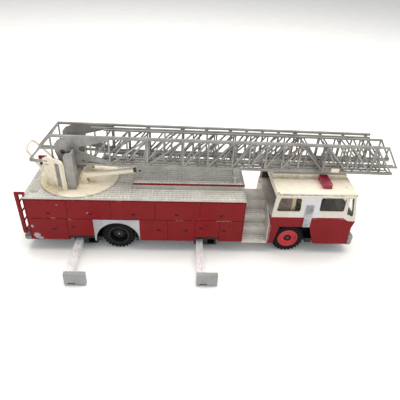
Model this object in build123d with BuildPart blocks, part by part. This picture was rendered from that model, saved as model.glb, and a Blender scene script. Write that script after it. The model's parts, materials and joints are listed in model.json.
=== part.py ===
from build123d import *
import math
import os

os.makedirs("parts", exist_ok=True)

# Toy fire engine with a turntable ladder, about 1:50.
# +X points forwards, +Y is the vehicle's left side, +Z is up, and the wheels stand on Z = 0.

# ---- driving dimensions, millimetres ----
REAR = -114.0                 # rear face of the body
HALF = 25.0                   # half the width of body and cab
BODY_LENGTH = 135.2
BODY_BOTTOM = 9.0
DECK_TOP = 41.0
DECK_THICK = 1.0
WALL = 1.5
DIVIDE_Z = 25.6               # line between upper and lower compartment doors
UPPER_SPLITS = (25.4, 51.9, 79.0, 106.9)
LOWER_SPLITS = (24.0, 86.7, 104.3, 119.7)
UPPER_HANDLES = (13.6, 38.9, 65.5, 92.6, 120.2)
LOWER_HANDLES = ((15.9, 17.6), (27.8, 19.1), (81.2, 17.6), (98.5, 17.6), (108.1, 19.4), (122.9, 17.5))
ARCH_REAR = 40.2              # silver panel round the rear wheels
ARCH_FRONT = 69.0
ARCH_TOP = 25.2
ARCH_RADIUS = 13.8
RAISED_START = 65.0           # raised middle part of the deck
RAISED_HALF = 12.9
RAISED_TOP = 45.0

WHEEL_Z = 10.5
TYRE_R = 10.5
RIM_R = 6.65
AXLE_R = 1.2
FRONT_AXLE = REAR + 166.0
REAR_AXLE = REAR + 54.9

CAB_REAR = REAR + 151.8
CAB_FRONT = REAR + 206.0
CAB_BOTTOM = 8.0
BELT_Z = 29.3
CREW_WALL = REAR + 163.0      # back wall of the cab's inside; the cab is open behind it
ROOF_BOTTOM = 45.2
ROOF_TOP = 48.0
LEDGE_HALF = 7.5
LEDGE_TOP = 50.8

SLEW_X = REAR + 29.5          # turntable axis
DISC_R = 24.8
DISC_TOP = 42.6
DISC_BOTTOM = 41.35
SPIGOT_R = 8.0
RUN_GAP = 0.06                # radial clearance of the running fits

HEEL_X = REAR + 24.0          # ladder's heel pivot
HEEL_Z = 64.3
HEEL_PIN_R = 1.5
DROOP = 0.7                   # degrees the resting ladder slopes down to its tip
LUG = (45.3, -11.5)           # lift eye, along and across the ladder from the heel pivot
RAM_X = REAR + 34.0           # lift ram's lower pivot
RAM_Z = 46.6
RAM_Y = 8.0
RAM_R = 1.65
ROD_R = 0.85

BEAM_W = 4.3
BEAM_H = 3.6
BEAM_TOP = 8.0
BEAM_IN = 14.0                # inner end of an extended beam, from the centre line
PAD_IN = 54.0                 # inner face of an extended jack pad
PAD_THICK = 2.5
PAD_W = 12.8
PAD_H = 9.0
OUTRIGGERS = {"rear": 33.5, "front": 111.3}
BEAM_SHIFT = 3.9              # the two beams of a pair pass each other, so each is off centre

heel = Vector(HEEL_X, 0, HEEL_Z)
along = Vector(math.cos(math.radians(DROOP)), 0, -math.sin(math.radians(DROOP)))


def ladder_plane(y):
    """Side plane of the ladder at distance y from its centre line, x along it and y up."""
    return Plane(origin=(HEEL_X, y, HEEL_Z), x_dir=along, z_dir=(0, -1, 0))


def save(builder, name):
    builder.part.label = name
    export_step(builder.part, "parts/" + name + ".step")


def bar(start, end, width):
    """Adds a straight flat bar between two points to the sketch being made."""
    dx = end[0] - start[0]
    dy = end[1] - start[1]
    with Locations(((start[0] + end[0]) / 2, (start[1] + end[1]) / 2)):
        Rectangle(math.hypot(dx, dy), width, rotation=math.degrees(math.atan2(dy, dx)))


def block(x0, x1, y0, y1, z0, z1, mode=Mode.ADD):
    """Adds or removes a rectangular block given by its two corners."""
    with Locations(((x0 + x1) / 2, (y0 + y1) / 2, (z0 + z1) / 2)):
        Box(x1 - x0, y1 - y0, z1 - z0, mode=mode)


def outline(points, radius=0.0):
    """A closed outline in the sketch being made, its corners rounded by radius."""
    with BuildSketch(mode=Mode.PRIVATE) as shape:
        with BuildLine():
            Polyline(*points, close=True)
        make_face()
        if radius > 0:
            fillet(shape.vertices(), radius)
    return shape.sketch


# ---- chassis ----
def make_chassis_base():
    with BuildPart() as chassis:
        block(REAR + 2, REAR + 133.4, -22.5, 22.5, 8.4, 9.6)
        block(REAR + 153.6, REAR + 203, -21.5, 21.5, 8.4, 9.6)
        block(REAR + 121, REAR + 133.4, -15.5, 15.5, 7.7, 8.4)
        block(REAR + 153.6, REAR + 166, -14.0, 14.0, 7.7, 8.4)
        block(REAR + 121, REAR + 166, -14.0, 14.0, 6.7, 7.7)
        for side in (-1, 1):
            low, high = sorted((side * 9.4, side * 24.0))
            block(REAR + 43.9, REAR + 65.9, low, high, 7, 11, Mode.SUBTRACT)
            low, high = sorted((side * 14.4, side * 24.0))
            block(REAR + 154.2, REAR + 178.2, low, high, 7, 11, Mode.SUBTRACT)
            # skirts that close the wheel arches at the bottom
            low, high = sorted((side * 10.0, side * 22.4))
            block(REAR + 41.3, REAR + 43.6, low, high, 6.6, 8.4)
            block(REAR + 66.1, REAR + 68.3, low, high, 6.6, 8.4)
            low, high = sorted((side * 13.0, side * 21.5))
            block(REAR + 178.6, REAR + 182.8, low, high, 6.2, 8.4)
        # black wheel housings
        block(REAR + 42.4, REAR + 67.2, -8.9, 8.9, 9.6, 24.0)
        block(REAR + 40.3, REAR + 68.9, -23.0, 23.0, 24.0, 25.0)
        block(REAR + 156.0, REAR + 182.0, -14.0, 14.0, 9.6, 21.9)
        block(REAR + 154.0, REAR + 184.0, -23.0, 23.0, 21.9, 22.9)
        for x in (FRONT_AXLE, REAR_AXLE):
            with Locations(Location((x, 0, WHEEL_Z), (90, 0, 0))):
                Cylinder(AXLE_R + RUN_GAP, 40, mode=Mode.SUBTRACT)
    save(chassis, "chassis_base")


def make_outrigger_guides():
    with BuildPart() as guides:
        for centre in OUTRIGGERS.values():
            x = REAR + centre
            block(x - 7.4, x + 7.4, -22.0, 22.0, 3.7, 8.4)
            for shift in (-BEAM_SHIFT, BEAM_SHIFT):
                left = x + shift - BEAM_W / 2 - 0.15
                right = x + shift + BEAM_W / 2 + 0.15
                block(left, right, -23, 23, BEAM_TOP - BEAM_H - 0.15, BEAM_TOP + 0.1, Mode.SUBTRACT)
    save(guides, "outrigger_guides")


# ---- body ----
def door_lines():
    """Grooves between the compartment doors and the pockets of their handles, right side."""
    with BuildPart() as cuts:
        with BuildSketch(Plane.XZ.offset(HALF - 0.35)):
            for x in UPPER_SPLITS:
                bar((REAR + x, DIVIDE_Z), (REAR + x, 39.3), 0.5)
            for x in LOWER_SPLITS:
                bar((REAR + x, BODY_BOTTOM - 1), (REAR + x, DIVIDE_Z), 0.5)
            bar((REAR + 0.9, DIVIDE_Z), (REAR + BODY_LENGTH - 0.6, DIVIDE_Z), 0.5)
            bar((REAR + 0.9, 39.3), (REAR + BODY_LENGTH - 0.6, 39.3), 0.4)
            bar((REAR + 0.9, BODY_BOTTOM), (REAR + 0.9, 39.3), 0.4)
            bar((REAR + BODY_LENGTH - 0.6, BODY_BOTTOM), (REAR + BODY_LENGTH - 0.6, 39.3), 0.4)
        extrude(amount=1)
        with BuildSketch(Plane.XZ.offset(HALF - 0.7)):
            for x in UPPER_HANDLES:
                with Locations((REAR + x, DIVIDE_Z + 4.0)):
                    SlotOverall(2.4, 1.2, rotation=-8)
            for x, z in LOWER_HANDLES:
                with Locations((REAR + x, z)):
                    SlotOverall(2.4, 1.2, rotation=-8)
        extrude(amount=1)
    return cuts.part


def make_body_shell():
    front = REAR + BODY_LENGTH
    cuts = door_lines()
    with BuildPart() as body:
        block(REAR, front, -HALF, HALF, BODY_BOTTOM, DECK_TOP - DECK_THICK)
        block(REAR + WALL, front - WALL, -HALF + WALL, HALF - WALL, BODY_BOTTOM - 1, 38.6, Mode.SUBTRACT)
        block(REAR + ARCH_REAR, REAR + ARCH_FRONT, -30, 30, BODY_BOTTOM - 1, ARCH_TOP, Mode.SUBTRACT)
        block(REAR + 24.3, REAR + ARCH_REAR, -30, 30, BODY_BOTTOM - 1, 12, Mode.SUBTRACT)
        block(REAR + 104.6, REAR + 119.4, -30, 30, BODY_BOTTOM - 1, 12, Mode.SUBTRACT)
        add(cuts, mode=Mode.SUBTRACT)
        mirror(cuts, about=Plane.XZ, mode=Mode.SUBTRACT)
        with Locations((SLEW_X, 0, 39)):
            Cylinder(SPIGOT_R + RUN_GAP, 10, mode=Mode.SUBTRACT)
    save(body, "body_shell")


def make_door_handles():
    spots = [(x, DIVIDE_Z + 4.0) for x in UPPER_HANDLES] + list(LOWER_HANDLES)
    with BuildPart() as handles:
        for x, z in spots:
            for side in (-1, 1):
                with Locations((REAR + x, side * (HALF - 0.45), z)):
                    Box(1.6, 0.5, 0.5)
    save(handles, "door_handles")


def make_arch_panels():
    with BuildPart() as panels:
        with BuildSketch(Plane.XZ.offset(HALF - WALL)):
            with Locations(((2 * REAR + ARCH_REAR + ARCH_FRONT) / 2, (8.6 + ARCH_TOP) / 2)):
                Rectangle(ARCH_FRONT - ARCH_REAR - 0.06, ARCH_TOP - 8.6 - 0.06)
            with Locations((REAR_AXLE, BODY_BOTTOM)):
                Circle(ARCH_RADIUS, mode=Mode.SUBTRACT)
        extrude(amount=WALL + 0.12)
        mirror(about=Plane.XZ)
    save(panels, "rear_arch_panels")


def make_deck():
    front = REAR + BODY_LENGTH
    with BuildPart() as deck:
        block(REAR, front, -HALF, HALF, DECK_TOP - DECK_THICK, DECK_TOP)
        with Locations((SLEW_X, 0, DECK_TOP)):
            Cylinder(SPIGOT_R + RUN_GAP, 10, mode=Mode.SUBTRACT)
    save(deck, "deck_plate")

    with BuildPart() as raised:
        block(REAR + RAISED_START, front, -RAISED_HALF, RAISED_HALF, DECK_TOP, RAISED_TOP)
    save(raised, "raised_deck")

    with BuildPart() as trim:
        for side in (-1, 1):
            low, high = sorted((side * RAISED_HALF, side * (RAISED_HALF + 0.45)))
            block(REAR + RAISED_START, front, low, high, RAISED_TOP - 0.9, RAISED_TOP + 0.2)
    save(trim, "deck_trim")

    with BuildPart() as caps:
        for side in (-1, 1):
            with Locations((REAR + 5.2, side * 17.0, DECK_TOP + 0.4)):
                Cylinder(2.4, 0.8)
            with Locations((REAR + 5.2, side * 17.0, DECK_TOP + 1.1)):
                Cylinder(1.2, 0.6)
        fillet(caps.edges().filter_by(GeomType.CIRCLE).group_by(Axis.Z)[-1], 0.25)
    save(caps, "deck_caps")

    with BuildPart() as rest:
        for side in (-1, 1):
            with Locations((REAR + 129.0, side * 9.5, RAISED_TOP + 0.4)):
                Cylinder(1.9, 0.8)
            with Locations((REAR + 129.0, side * 9.5, RAISED_TOP + 2.6)):
                Cylinder(0.9, 3.6)
            with Locations((REAR + 129.0, side * 9.5, RAISED_TOP + 4.6)):
                Box(3.6, 2.6, 0.8)
    save(rest, "ladder_rest")


def make_stairs():
    """Steps that rise from each side to a landing in the middle, against the cab."""
    steps = [(-24.7, 7.8), (-24.7, 9.5), (-18.4, 9.5), (-18.4, 16.0), (-13.6, 16.0)]
    steps += [(-13.6, 22.7), (-7.3, 22.7), (-7.3, 30.0)]
    outer = steps + [(-y, z) for y, z in reversed(steps)]
    cheek = [(-24.7, 7.8), (-24.7, 24.7), (-12.0, 31.2), (12.0, 31.2), (24.7, 24.7), (24.7, 7.8)]
    with BuildPart() as stairs:
        with BuildSketch(Plane.YZ.offset(REAR + BODY_LENGTH)):
            add(outline(outer))
        extrude(amount=151.2 - BODY_LENGTH)
        with BuildSketch(Plane.YZ.offset(REAR + 151.2)):
            add(outline(cheek))
        extrude(amount=0.6)
        # landing floor inside the open back of the cab
        block(REAR + 151.8, CREW_WALL, -22.8, 22.8, 29.4, 30.0)
    save(stairs, "stair_unit")


def make_rear_fittings():
    with BuildPart() as step:
        block(REAR - 5.2, REAR, -24.2, 24.2, 8.0, 10.6)
        fillet(step.edges().filter_by(Axis.Z).group_by(Axis.X)[0], 2.2)
        fillet(step.edges().group_by(Axis.X)[0], 0.5)
    save(step, "rear_step")

    rungs = (36.2, 29.1, 22.0, 14.9)
    with BuildPart() as climb:
        for side in (-1, 1):
            low, high = sorted((side * 22.7, side * 24.1))
            block(REAR - 4.5, REAR - 2.4, low, high, 13.2, 43.6)
            block(REAR - 2.4, REAR + 1.3, low, high, 42.3, 43.6)
            block(REAR + 0.2, REAR + 1.3, low, high, DECK_TOP, 42.3)
            block(REAR - 2.4, REAR, low, high, 14.3, 15.5)
        for z in rungs:
            with Locations(Location((REAR - 2.9, 0, z), (90, 0, 0))):
                Cylinder(0.5, 46.0)
    save(climb, "rear_ladder")


# ---- cab ----
BELT = ((REAR + 198.3, BELT_Z), (REAR + 201.7, 27.0), (REAR + 206.8, 26.8))


def rear_window():
    return outline([(REAR + 154.7, 33.8), (REAR + 156.0, 43.7), (REAR + 169.2, 43.7),
                    (REAR + 169.8, 33.8)], 1.3)


def door_window():
    return outline([(REAR + 181.7, 34.2), (REAR + 181.3, 44.2), (REAR + 197.1, 44.2),
                    (REAR + 197.4, 34.2)], 1.3)


def quarter_window():
    return outline([(REAR + 200.0, 32.0), (REAR + 199.0, 44.3), (REAR + 201.8, 44.3),
                    (REAR + 204.3, 30.3)], 0.7)


def make_cab_lower():
    shape = [(CAB_REAR, CAB_BOTTOM), (CAB_REAR, BELT_Z), BELT[0], BELT[1], BELT[2]]
    shape += [(CAB_FRONT, 24.0), (CAB_FRONT, CAB_BOTTOM)]
    arch = [(REAR + 155.2, 6.0), (REAR + 158.5, 21.8), (REAR + 178.0, 21.8), (REAR + 183.2, 6.0)]
    with BuildPart() as cab:
        with BuildSketch(Plane.XZ):
            add(outline(shape))
        extrude(amount=HALF, both=True)
        fillet(cab.edges().filter_by(Axis.Z).group_by(Axis.X)[-1], 1.4)
        block(CAB_REAR + WALL, CAB_FRONT - WALL, -HALF + WALL, HALF - WALL, 6, 40, Mode.SUBTRACT)
        with BuildSketch(Plane.XZ):
            add(outline(arch))
        extrude(amount=40, both=True, mode=Mode.SUBTRACT)
    save(cab, "cab_lower")


def make_cab_upper():
    shape = [(CAB_REAR + 0.3, BELT_Z), (CAB_REAR + 1.5, ROOF_BOTTOM), (REAR + 203.0, ROOF_BOTTOM)]
    shape += [BELT[2], BELT[1], BELT[0]]
    inside = [(CAB_REAR + 1.7, 24.0), (CAB_REAR + 2.9, 50.0), (REAR + 200.6, 50.0), (REAR + 206.0, 24.0)]
    with BuildPart() as cab:
        with BuildSketch(Plane.XZ):
            add(outline(shape))
        extrude(amount=HALF, both=True)
        with BuildSketch(Plane.XZ):
            add(outline(inside))
        extrude(amount=HALF - 1.3, both=True, mode=Mode.SUBTRACT)
        block(CAB_REAR - 1, CAB_REAR + 4, -HALF + 1.3, HALF - 1.3, 29, 44.2, Mode.SUBTRACT)
        with BuildSketch(Plane.XZ):
            add(rear_window())
            add(door_window())
            add(quarter_window())
        extrude(amount=40, both=True, mode=Mode.SUBTRACT)
        with BuildSketch(Plane.YZ.offset(REAR + 195)):
            with GridLocations(22.6, 0, 2, 1):
                with Locations((0, 36.8)):
                    RectangleRounded(20.4, 12.6, 1.4)
        extrude(amount=20, mode=Mode.SUBTRACT)
    save(cab, "cab_upper")


def make_cab_windows():
    with BuildPart() as panes:
        with BuildSketch(Plane.XZ.offset(HALF - 1.1)):
            for shape in (rear_window(), door_window(), quarter_window()):
                offset(shape, amount=-0.04, kind=Kind.INTERSECTION, mode=Mode.ADD)
        extrude(amount=0.6)
        mirror(about=Plane.XZ)
        with BuildSketch(Plane(origin=(REAR + 203.6, 0, 36.8), x_dir=(0, 1, 0), z_dir=(0.975, 0, 0.2231))):
            with GridLocations(22.6, 0, 2, 1):
                RectangleRounded(20.1, 12.2, 1.4)
        extrude(amount=0.6)
    save(panes, "cab_windows")


def make_cab_roof():
    front = REAR + 203.9
    rear = CAB_REAR + 0.8
    with BuildPart() as roof:
        block(rear, front, -HALF - 0.5, HALF + 0.5, ROOF_BOTTOM, ROOF_BOTTOM + 1.1)
        block(rear + 0.4, front - 0.4, -HALF - 0.1, HALF + 0.1, ROOF_BOTTOM + 1.1, ROOF_TOP)
        fillet(roof.edges().filter_by(Axis.Z), 1.2)
        fillet(roof.faces().sort_by(Axis.Z)[-1].edges(), 0.8)
        block(rear + 0.9, front - 2.0, -LEDGE_HALF, LEDGE_HALF, ROOF_TOP, LEDGE_TOP)
        top = roof.faces().sort_by(Axis.Z)[-1]
        fillet(top.edges(), 1.0)
    save(roof, "cab_roof")

    with BuildPart() as beacons:
        for side in (-1, 1):
            low, high = sorted((side * (LEDGE_HALF + 0.2), side * 20.3))
            block(REAR + 182.8, REAR + 188.4, low, high, ROOF_TOP, 51.4)
        fillet(beacons.edges().filter_by(Axis.Z), 0.9)
        fillet(beacons.edges().group_by(Axis.Z)[-1], 0.7)
    save(beacons, "roof_beacons")


def make_cab_fittings():
    with BuildPart() as strips:
        for side in (-1, 1):
            low, high = sorted((side * HALF, side * (HALF + 0.7)))
            block(REAR + 172.9, REAR + 177.7, low, high, 22.2, 38.5)
        fillet(strips.edges().filter_by(Axis.Y), 0.3)
    save(strips, "cab_side_strips")

    with BuildPart() as bumper:
        block(CAB_FRONT, CAB_FRONT + 3.8, -24.6, 24.6, 6.6, 13.6)
        fillet(bumper.edges().filter_by(Axis.Z).group_by(Axis.X)[-1], 2.6)
        fillet(bumper.faces().sort_by(Axis.X)[-1].edges(), 1.3)
    save(bumper, "front_bumper")

    with BuildPart() as grille:
        block(CAB_FRONT, CAB_FRONT + 0.7, -10.5, 10.5, 14.8, 23.4)
        block(CAB_FRONT + 0.3, CAB_FRONT + 1.0, -9.6, 9.6, 15.7, 22.5, Mode.SUBTRACT)
        for z in (16.6, 18.3, 20.0, 21.7):
            block(CAB_FRONT + 0.3, CAB_FRONT + 0.7, -9.6, 9.6, z - 0.3, z + 0.3)
    save(grille, "grille")

    with BuildPart() as lamps:
        for side in (-1, 1):
            with Locations(Location((CAB_FRONT + 0.6, side * 17.2, 18.6), (0, 90, 0))):
                Cylinder(2.9, 1.2)
        fillet(lamps.edges().filter_by(GeomType.CIRCLE).group_by(Axis.X)[-1], 0.5)
    save(lamps, "headlamps")


def make_cab_inside():
    with BuildPart() as tub:
        block(CAB_REAR + 2.0, CAB_FRONT - 1.6, -23.3, 23.3, 22.9, 23.9)
        block(CREW_WALL, CREW_WALL + 1.0, -23.3, 23.3, 23.9, 44.6)
        for side in (-1, 1):
            low, high = sorted((side * 22.9, side * 23.4))
            block(CAB_REAR + 2.0, CREW_WALL, low, high, 23.9, 44.0)
        block(REAR + 170.6, REAR + 171.6, -23.3, 23.3, 23.9, 33.0)
    save(tub, "cab_interior")

    with BuildPart() as seats:
        for side in (-1, 1):
            low, high = sorted((side * 4.5, side * 21.5))
            block(REAR + 172.0, REAR + 182.0, low, high, 23.9, 29.0)
            block(REAR + 172.0, REAR + 174.4, low, high, 29.0, 41.0)
            block(CREW_WALL + 1.2, REAR + 170.2, low, high, 23.9, 28.6)
            block(CREW_WALL + 1.2, CREW_WALL + 4.0, low, high, 28.6, 42.0)
        fillet(seats.edges().filter_by(Axis.Y), 0.7)
    save(seats, "cab_seats")

    face = [(REAR + 191.5, 23.9), (REAR + 195.5, 33.5), (REAR + 199.5, 35.0), (REAR + 203.6, 23.9)]
    with BuildPart() as dash:
        with BuildSketch(Plane.XZ):
            add(outline(face))
        extrude(amount=23.0, both=True)
    save(dash, "dashboard")

    wheel = Plane(origin=(REAR + 190.2, 12.5, 33.6), z_dir=(-0.8, 0, 0.6))
    with BuildPart() as steering:
        with Locations(wheel):
            Torus(3.4, 0.5)
            Cylinder(0.5, 7.4, rotation=(90, 0, 0))
        with BuildSketch(wheel.offset(0.2)):
            Circle(0.6)
        extrude(amount=-3.6)
    save(steering, "steering_wheel")


# ---- wheels ----
def make_wheels():
    ring = ((15.6, RIM_R), (15.6, 9.4), (16.6, TYRE_R), (22.0, TYRE_R), (23.0, 9.4), (23.0, RIM_R))
    with BuildPart() as tyres:
        with BuildSketch(Plane.YZ.offset(FRONT_AXLE)):
            add(outline([(y, WHEEL_Z + r) for y, r in ring]))
        revolve(axis=Axis((FRONT_AXLE, 0, WHEEL_Z), (0, 1, 0)))
        mirror(about=Plane.XZ)
    save(tyres, "front_tyres")

    hub = ((15.6, AXLE_R), (15.6, RIM_R), (22.9, RIM_R), (22.9, 5.8), (22.2, 5.2), (22.4, 2.6))
    hub += ((21.0, 2.4), (21.0, 1.6), (22.2, 1.5), (22.2, 0.0), (21.4, 0.0), (21.4, AXLE_R))
    with BuildPart() as rims:
        with BuildSketch(Plane.YZ.offset(FRONT_AXLE)):
            add(outline([(y, WHEEL_Z + r) for y, r in hub]))
        revolve(axis=Axis((FRONT_AXLE, 0, WHEEL_Z), (0, 1, 0)))
        mirror(about=Plane.XZ)
    save(rims, "front_rims")

    with BuildPart() as axle:
        with Locations(Location((FRONT_AXLE, 0, WHEEL_Z), (90, 0, 0))):
            Cylinder(AXLE_R, 42.8)
    save(axle, "front_axle")

    with BuildPart() as tyres:
        for inner in (9.7, 16.2):
            ring = ((0.0, RIM_R), (0.0, 9.5), (0.9, TYRE_R), (4.9, TYRE_R), (5.8, 9.5), (5.8, RIM_R))
            with BuildSketch(Plane.YZ.offset(REAR_AXLE)):
                add(outline([(inner + y, WHEEL_Z + r) for y, r in ring]))
            revolve(axis=Axis((REAR_AXLE, 0, WHEEL_Z), (0, 1, 0)))
        mirror(about=Plane.XZ)
    save(tyres, "rear_tyres")

    hub = ((9.7, AXLE_R), (9.7, RIM_R), (22.0, RIM_R), (22.0, 5.9), (17.4, 5.2), (17.4, 3.8))
    hub += ((20.0, 3.5), (20.0, 0.0), (19.0, 0.0), (19.0, AXLE_R))
    with BuildPart() as rims:
        with BuildSketch(Plane.YZ.offset(REAR_AXLE)):
            add(outline([(y, WHEEL_Z + r) for y, r in hub]))
        revolve(axis=Axis((REAR_AXLE, 0, WHEEL_Z), (0, 1, 0)))
        mirror(about=Plane.XZ)
    save(rims, "rear_rims")

    with BuildPart() as axle:
        with Locations(Location((REAR_AXLE, 0, WHEEL_Z), (90, 0, 0))):
            Cylinder(AXLE_R, 38.0)
    save(axle, "rear_axle")


# ---- turntable ----
def make_turntable():
    with BuildPart() as disc:
        with Locations((SLEW_X, 0, (DISC_TOP + DISC_BOTTOM) / 2)):
            Cylinder(DISC_R, DISC_TOP - DISC_BOTTOM)
        fillet(disc.edges().group_by(Axis.Z)[-1], 0.3)
    save(disc, "turntable_disc")

    with BuildPart() as spigot:
        with Locations((SLEW_X, 0, (38.3 + DISC_BOTTOM) / 2)):
            Cylinder(SPIGOT_R, DISC_BOTTOM - 38.3)
        with Locations((SLEW_X, 0, 37.7)):
            Cylinder(10.5, 1.2)
    save(spigot, "turntable_spigot")

    with BuildPart() as posts:
        with BuildSketch(Plane.XZ.offset(11.2)):
            add(outline([(REAR + 26.1, DISC_TOP), (REAR + 25.9, 64.6), (REAR + 27.2, 66.4),
                         (REAR + 31.4, 67.4), (REAR + 31.0, DISC_TOP)], 0.5))
        extrude(amount=6.6)
        with BuildSketch(Plane.XZ.offset(12.3)):
            add(outline([(REAR + 27.2, 45.0), (REAR + 27.1, 69.0),
                         (REAR + 30.2, 69.0), (REAR + 30.0, 45.0)]))
        extrude(amount=4.4, mode=Mode.SUBTRACT)
        mirror(about=Plane.XZ)
    save(posts, "pedestal_posts")

    cheek = [(REAR + 20.4, DISC_TOP), (REAR + 20.8, HEEL_Z), (REAR + 22.0, HEEL_Z + 3.0)]
    cheek += [(REAR + 26.0, HEEL_Z + 3.0), (REAR + 27.2, HEEL_Z), (REAR + 30.0, DISC_TOP)]
    with BuildPart() as yoke:
        with BuildSketch(Plane.XZ.offset(6.5)):
            add(outline(cheek, 1.0))
            with Locations((HEEL_X, HEEL_Z)):
                Circle(HEEL_PIN_R, mode=Mode.SUBTRACT)
        extrude(amount=1.7)
        mirror(about=Plane.XZ)
        block(REAR + 21.0, REAR + 29.0, -6.5, 6.5, DISC_TOP, DISC_TOP + 1.4)
    save(yoke, "heel_yoke")

    with BuildPart() as pin:
        with Locations(Location((HEEL_X, 0, HEEL_Z), (90, 0, 0))):
            Cylinder(HEEL_PIN_R, 20.0)
    save(pin, "heel_pin")

    face = Plane(origin=(REAR + 18.25, -15.65, DISC_TOP), x_dir=(14.1, -7.7, 0), z_dir=(-7.7, -14.1, 0))
    with BuildPart() as console:
        with BuildSketch(face):
            add(outline([(-8.0, 0.0), (-7.0, 19.6), (8.0, 19.6), (8.0, 0.0)]))
        extrude(amount=-1.4)
        fillet(console.edges().filter_by(lambda e: abs(e.center().Z - DISC_TOP - 19.6) < 0.1
                                         and e.length < 1.6), 3.0)
        with BuildSketch(face):
            with Locations((3.6, 9.4)):
                Rectangle(3.4, 16.4)
        extrude(amount=-0.5, mode=Mode.SUBTRACT)
        with BuildSketch(face):
            with Locations((7.3, 8.3)):
                Rectangle(1.4, 16.6)
        extrude(amount=0.9)
    save(console, "control_console")

    rail = [(REAR + 5.6, 3.2, DISC_TOP), (REAR - 4.2, 4.6, 58.4)]
    rail += [(REAR - 3.0, 15.2, 60.4), (REAR + 11.0, 16.6, DISC_TOP)]
    with BuildPart() as guard:
        with BuildLine() as path:
            FilletPolyline(*rail, radius=3.6)
        with BuildSketch(Plane(origin=path.line @ 0, z_dir=path.line % 0)):
            Circle(0.85)
        sweep()
        block(REAR - 20, REAR + 30, -10, 30, DISC_TOP - 3, DISC_TOP, Mode.SUBTRACT)
    save(guard, "guard_rail")

    ear = [(REAR + 30.6, DISC_TOP), (REAR + 33.0, RAM_Z + 0.9)]
    ear += [(REAR + 35.0, RAM_Z + 0.9), (REAR + 37.0, DISC_TOP)]
    with BuildPart() as brackets:
        for y in (RAM_Y - RAM_R - 0.75, RAM_Y + RAM_R + 0.15):
            with BuildSketch(Plane.XZ.offset(y)):
                add(outline(ear, 0.5))
            extrude(amount=0.6)
        with Locations(Location((RAM_X, -RAM_Y, RAM_Z), (90, 0, 0))):
            Cylinder(0.5, 2 * RAM_R + 0.8)
        mirror(about=Plane.XZ)
    save(brackets, "ram_brackets")


# ---- lift rams ----
lug_at = heel + along * LUG[0] + Vector(-along.Z, 0, along.X) * LUG[1]
ram_run = Vector(lug_at.X - RAM_X, 0, lug_at.Z - RAM_Z)


def make_rams():
    line = Plane(origin=(RAM_X, -RAM_Y, RAM_Z), x_dir=(0, 1, 0), z_dir=ram_run)
    with BuildPart() as barrels:
        with BuildSketch(line.offset(1.6)):
            Circle(RAM_R)
        extrude(amount=29.9)
        with Locations(Location((RAM_X, -RAM_Y, RAM_Z), (90, 0, 0))):
            Cylinder(1.5, 2 * RAM_R)
        with BuildSketch(line):
            Rectangle(2 * RAM_R, 2.4)
        extrude(amount=2.0)
        with BuildSketch(line.offset(4.0)):
            Circle(ROD_R + RUN_GAP)
        extrude(amount=40, mode=Mode.SUBTRACT)
        with Locations(Location((RAM_X, -RAM_Y, RAM_Z), (90, 0, 0))):
            Cylinder(0.5 + RUN_GAP, 10, mode=Mode.SUBTRACT)
        mirror(about=Plane.XZ)
    save(barrels, "lift_barrels")

    with BuildPart() as rods:
        with BuildSketch(line.offset(5.0)):
            Circle(ROD_R)
        extrude(amount=ram_run.length - 8.0)
        with Locations(Location((lug_at.X, -RAM_Y, lug_at.Z), (90, 0, 0))):
            Cylinder(1.4, 1.2)
            Cylinder(0.6, 4, mode=Mode.SUBTRACT)
        with BuildSketch(line.offset(ram_run.length - 4.0)):
            Rectangle(1.2, 2.8)
        extrude(amount=2.9)
        mirror(about=Plane.XZ)
    save(rods, "lift_rods")


# ---- ladder ----
def truss(posts, low, high, flip_from, width):
    """Uprights at each place in posts with a diagonal in every bay, in the sketch being made."""
    for place in posts:
        bar((place, low), (place, high), width)
    for left, right in zip(posts, posts[1:]):
        if left < flip_from:
            bar((left, low), (right, high), width)
        else:
            bar((left, high), (right, low), width)


def rungs(start, end, pitch, level, half, skip=()):
    """Cross bars of the ladder's floor and the two runners that carry them."""
    count = int((end - start) / pitch)
    for i in range(count + 1):
        place = start + i * pitch
        if skip and skip[0] < place < skip[1]:
            continue
        spot = heel + along * place + Vector(0, 0, level)
        with Locations(Location((spot.X, 0, spot.Z), (90, 0, 0))):
            Cylinder(0.45, 2 * half)
    for y in (-0.62 * half, 0.62 * half):
        with BuildSketch(ladder_plane(y + 0.4)) as runner:
            bar((start - 0.45, level), (end + 0.45, level), 0.7)
        extrude(runner.sketch, amount=0.8)


BASE_POSTS = (27.5, 50.2, 72.0, 87.0, 102.3, 112.5, 122.8, 133.2, 143.6, 159.7, 174.8, 190.0)
MID_POSTS = tuple(16.0 + 11.0 * i for i in range(17))
FLY_POSTS = tuple(24.0 + 13.5 * i for i in range(14))


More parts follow.
